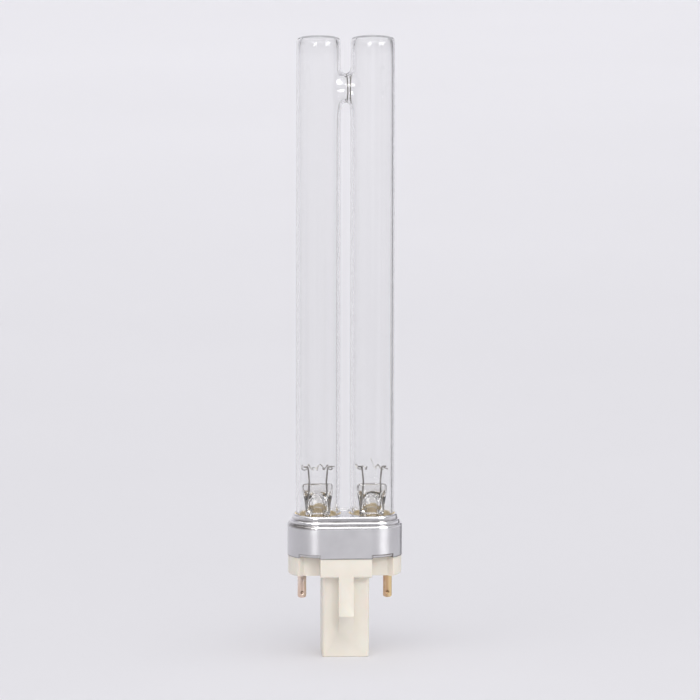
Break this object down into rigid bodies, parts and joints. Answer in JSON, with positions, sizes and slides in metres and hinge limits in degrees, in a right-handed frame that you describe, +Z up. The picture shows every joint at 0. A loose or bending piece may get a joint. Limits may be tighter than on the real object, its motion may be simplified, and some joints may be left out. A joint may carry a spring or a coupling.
{
  "type": "ultraviolet lamp",
  "caption": "Compact ultraviolet lamp: parallel clear glass tubes bridged near the top, set in an aluminium ferrule on a cream moulded cap with a keyed post and contact pins.",
  "frame": {"origin": "centre of the end of the post, on which the lamp stands", "axes": "+Z up the tubes, X along the line of the pins, -Y the front"},
  "size_m": [0.0308, 0.018, 0.167],
  "materials": {
    "clear_glass": "clear drawn and blown glass",
    "stem_glass": "clear pressed glass",
    "tungsten": "dark tungsten wire with a pale emitter coat",
    "lead_wire": "nickel-iron wire",
    "aluminium": "bright drawn sheet",
    "cream_plastic": "cream moulded polyester",
    "brass": "drawn brass tube",
    "cement": "tan capping cement",
    "starter_glass": "clear glass bulb",
    "bimetal": "bimetal strip",
    "capacitor_coat": "dipped resin coat",
    "tinned_wire": "tinned copper wire"
  },
  "bodies": {
    "root": {"envelope": "clear_glass", "ferrule": "aluminium", "capping_cement": "cement", "base": "cream_plastic", "starter_bottle": "starter_glass", "starter_bimetal": "bimetal", "capacitor": "capacitor_coat", "capacitor_leads": "tinned_wire", "left_stem": "stem_glass", "left_filament": "tungsten", "left_outer_lead": "lead_wire", "left_inner_lead": "lead_wire", "left_pin": "brass", "starter_left_lead": "tinned_wire", "right_stem": "stem_glass", "right_filament": "tungsten", "right_outer_lead": "lead_wire", "right_inner_lead": "lead_wire", "right_pin": "brass", "starter_right_lead": "tinned_wire"}
  },
  "joints": []
}
